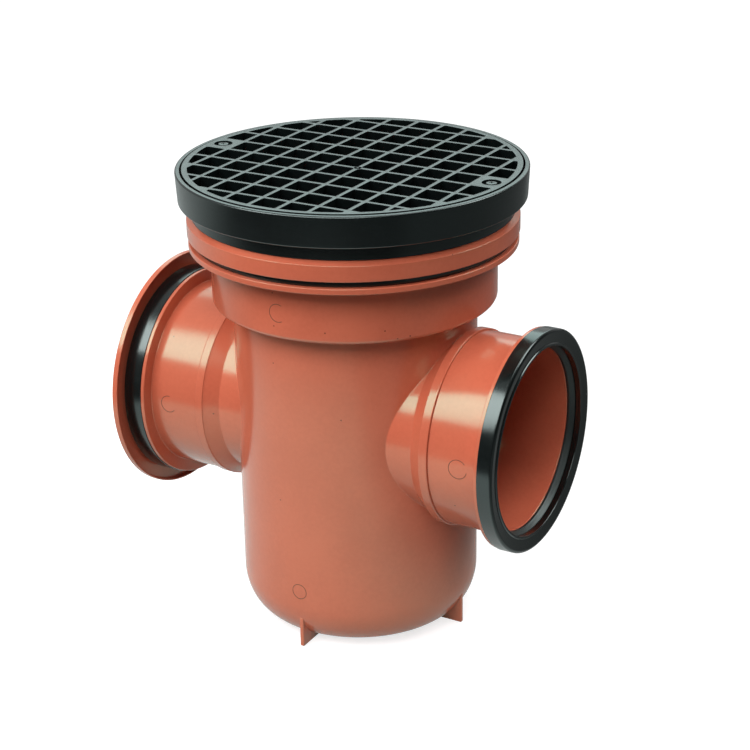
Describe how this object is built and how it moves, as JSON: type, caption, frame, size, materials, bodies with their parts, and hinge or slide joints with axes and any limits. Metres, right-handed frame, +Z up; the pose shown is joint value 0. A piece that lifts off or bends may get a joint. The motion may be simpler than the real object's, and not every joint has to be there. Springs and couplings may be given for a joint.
{
  "type": "gully trap",
  "caption": "Round gully trap: sump tank with push-fit inlet and outlet sockets, plugged inlet, sliding riser, framed square-cell grate and a dip pipe for the water seal.",
  "frame": {"origin": "on the tank's axis, on the ground under the feet", "axes": "+Z up along the tank's axis, +X along the outlet, away from the tank; the plugged inlet points along -X"},
  "size_m": [0.2583, 0.209, 0.29],
  "materials": {
    "terracotta_plastic": "satin terracotta pipe plastic",
    "black_plastic": "satin black plastic",
    "seal_rubber": "matt black rubber"
  },
  "bodies": {
    "base": {"tank": "terracotta_plastic", "top_socket": "terracotta_plastic", "outlet_socket": "terracotta_plastic", "inlet_socket": "terracotta_plastic", "top_ring": "black_plastic", "outlet_ring": "black_plastic", "inlet_ring": "black_plastic", "top_seal": "seal_rubber", "outlet_seal": "seal_rubber", "inlet_seal": "seal_rubber", "inlet_plug": "terracotta_plastic", "trap_elbow": "terracotta_plastic", "trap_seal": "seal_rubber"},
    "riser": {"riser": "terracotta_plastic", "grate_frame": "black_plastic", "grate": "black_plastic", "grate_screws": "black_plastic"}
  },
  "joints": [
    {"name": "riser_lift", "type": "slide", "parent": "base", "child": "riser", "axis": [0, 0, 1], "range_m": [0, 0.018]}
  ]
}
